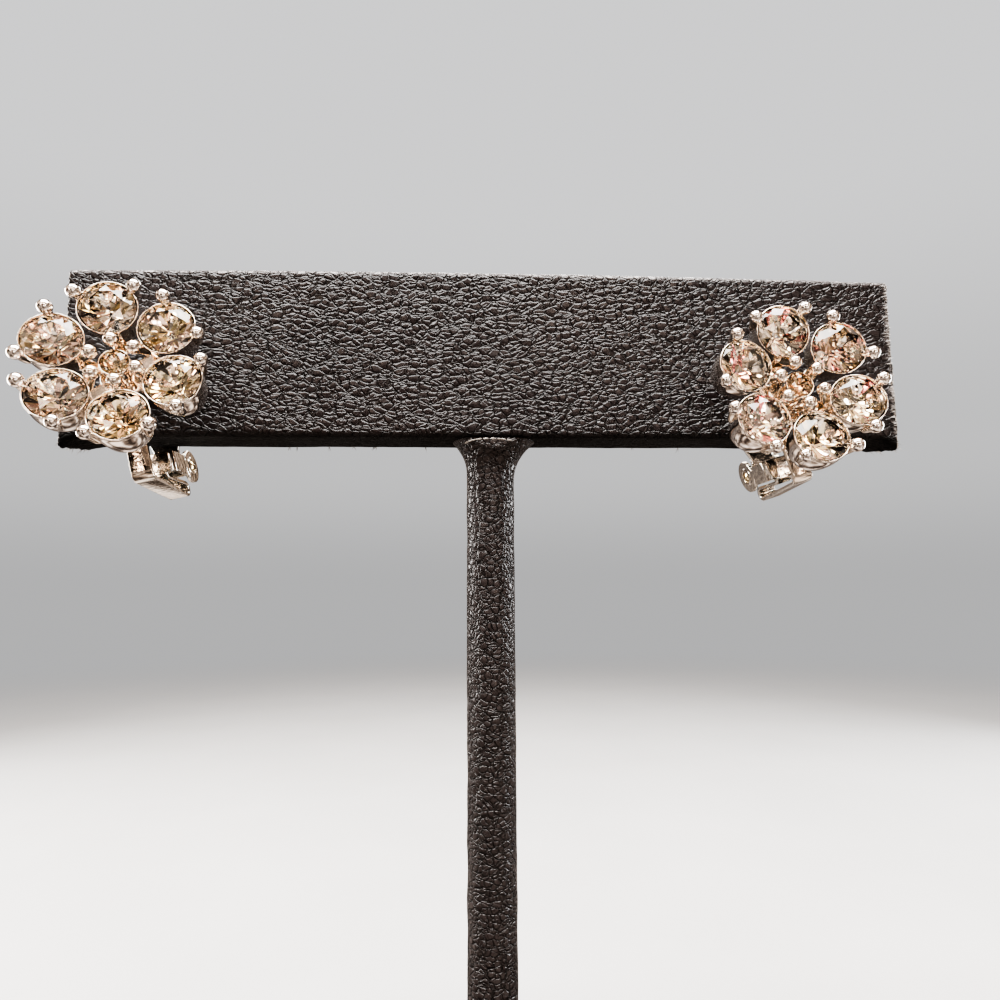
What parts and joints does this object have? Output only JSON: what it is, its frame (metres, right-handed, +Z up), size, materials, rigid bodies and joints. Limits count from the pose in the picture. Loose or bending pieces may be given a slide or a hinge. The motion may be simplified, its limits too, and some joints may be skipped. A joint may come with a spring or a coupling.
{
  "type": "pair of clip on earrings on a t bar display stand",
  "caption": "Flower clip on earrings of round cut stones in ball prong cups, with hinged paddle levers, on a wrapped T bar display stand.",
  "frame": {"origin": "middle of the foot's underside, on the surface that the stand rests on", "axes": "+Z up the post, +X along the bar to the viewer's right, +Y away from the viewer, behind the bar"},
  "size_m": [0.1003, 0.05, 0.118],
  "materials": {
    "stand_wrap": "pebbled, satin",
    "plated_setting": "polished plate",
    "plated_lever": "polished plate",
    "crystal": "cut and foiled",
    "centre_crystal": "cut and foiled"
  },
  "bodies": {
    "root": {"stand_base": "stand_wrap", "stand_post": "stand_wrap", "stand_bar": "stand_wrap", "left_setting": "plated_setting", "right_setting": "plated_setting", "left_centre_stone": "centre_crystal", "left_stone_1": "crystal", "left_stone_2": "crystal", "left_stone_3": "crystal", "left_stone_4": "crystal", "left_stone_5": "crystal", "left_stone_6": "crystal", "right_centre_stone": "centre_crystal", "right_stone_1": "crystal", "right_stone_2": "crystal", "right_stone_3": "crystal", "right_stone_4": "crystal", "right_stone_5": "crystal", "right_stone_6": "crystal"},
    "left_lever": {"left_lever": "plated_lever"},
    "right_lever": {"right_lever": "plated_lever"}
  },
  "joints": [
    {"name": "left_lever_hinge", "type": "hinge", "parent": "root", "child": "left_lever", "pos_m": [-0.0406, 0.0056, 0.09501], "axis": [-0.9744, 0, -0.225], "range_deg": [0, 95]},
    {"name": "right_lever_hinge", "type": "hinge", "parent": "root", "child": "right_lever", "pos_m": [0.0369, 0.0056, 0.09484], "axis": [-0.9511, 0, -0.309], "range_deg": [0, 95]}
  ]
}
